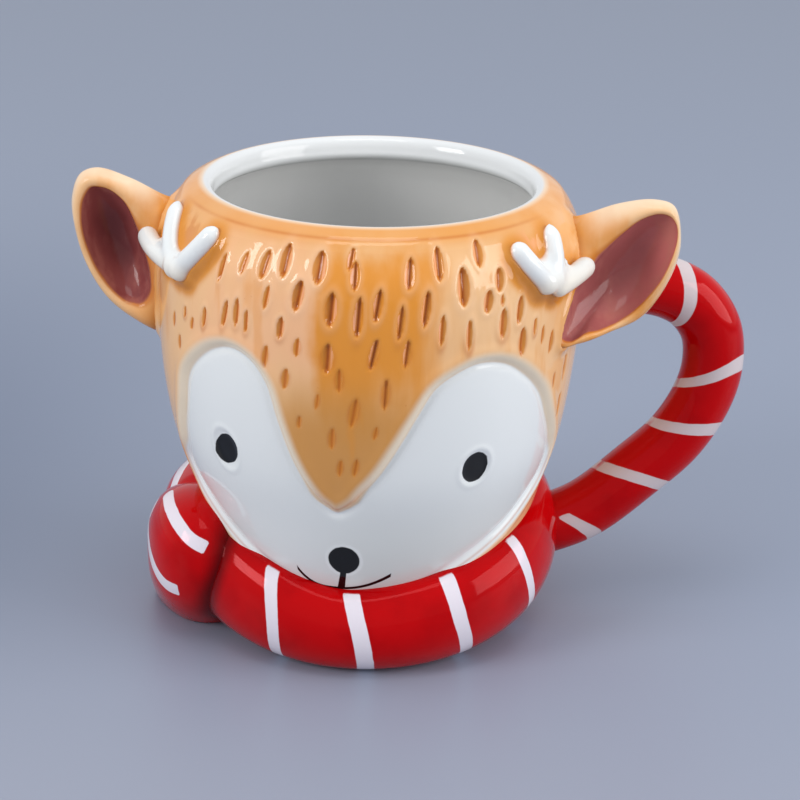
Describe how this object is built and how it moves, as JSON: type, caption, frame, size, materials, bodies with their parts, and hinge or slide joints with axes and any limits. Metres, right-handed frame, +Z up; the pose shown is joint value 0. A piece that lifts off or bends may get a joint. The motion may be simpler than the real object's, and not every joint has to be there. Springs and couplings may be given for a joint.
{
  "type": "ceramic mug",
  "caption": "Glazed ceramic mug shaped as a fawn's head, with cupped ears, small antlers, a striped scarf round the neck and a striped loop handle.",
  "frame": {"origin": "middle of the flat base, on the surface that the mug stands on", "axes": "+Z up along the cup's axis, the face looks along -Y, and the handle is on the +X side"},
  "size_m": [0.1583, 0.0988, 0.1086],
  "materials": {
    "fur_glaze": "gloss",
    "white_glaze": "gloss",
    "red_glaze": "gloss"
  },
  "bodies": {
    "root": {"head_cup": "fur_glaze", "ear_left": "fur_glaze", "ear_right": "fur_glaze", "antler_left": "white_glaze", "antler_right": "white_glaze", "scarf_loop": "red_glaze", "scarf_end": "red_glaze", "handle": "red_glaze"}
  },
  "joints": []
}
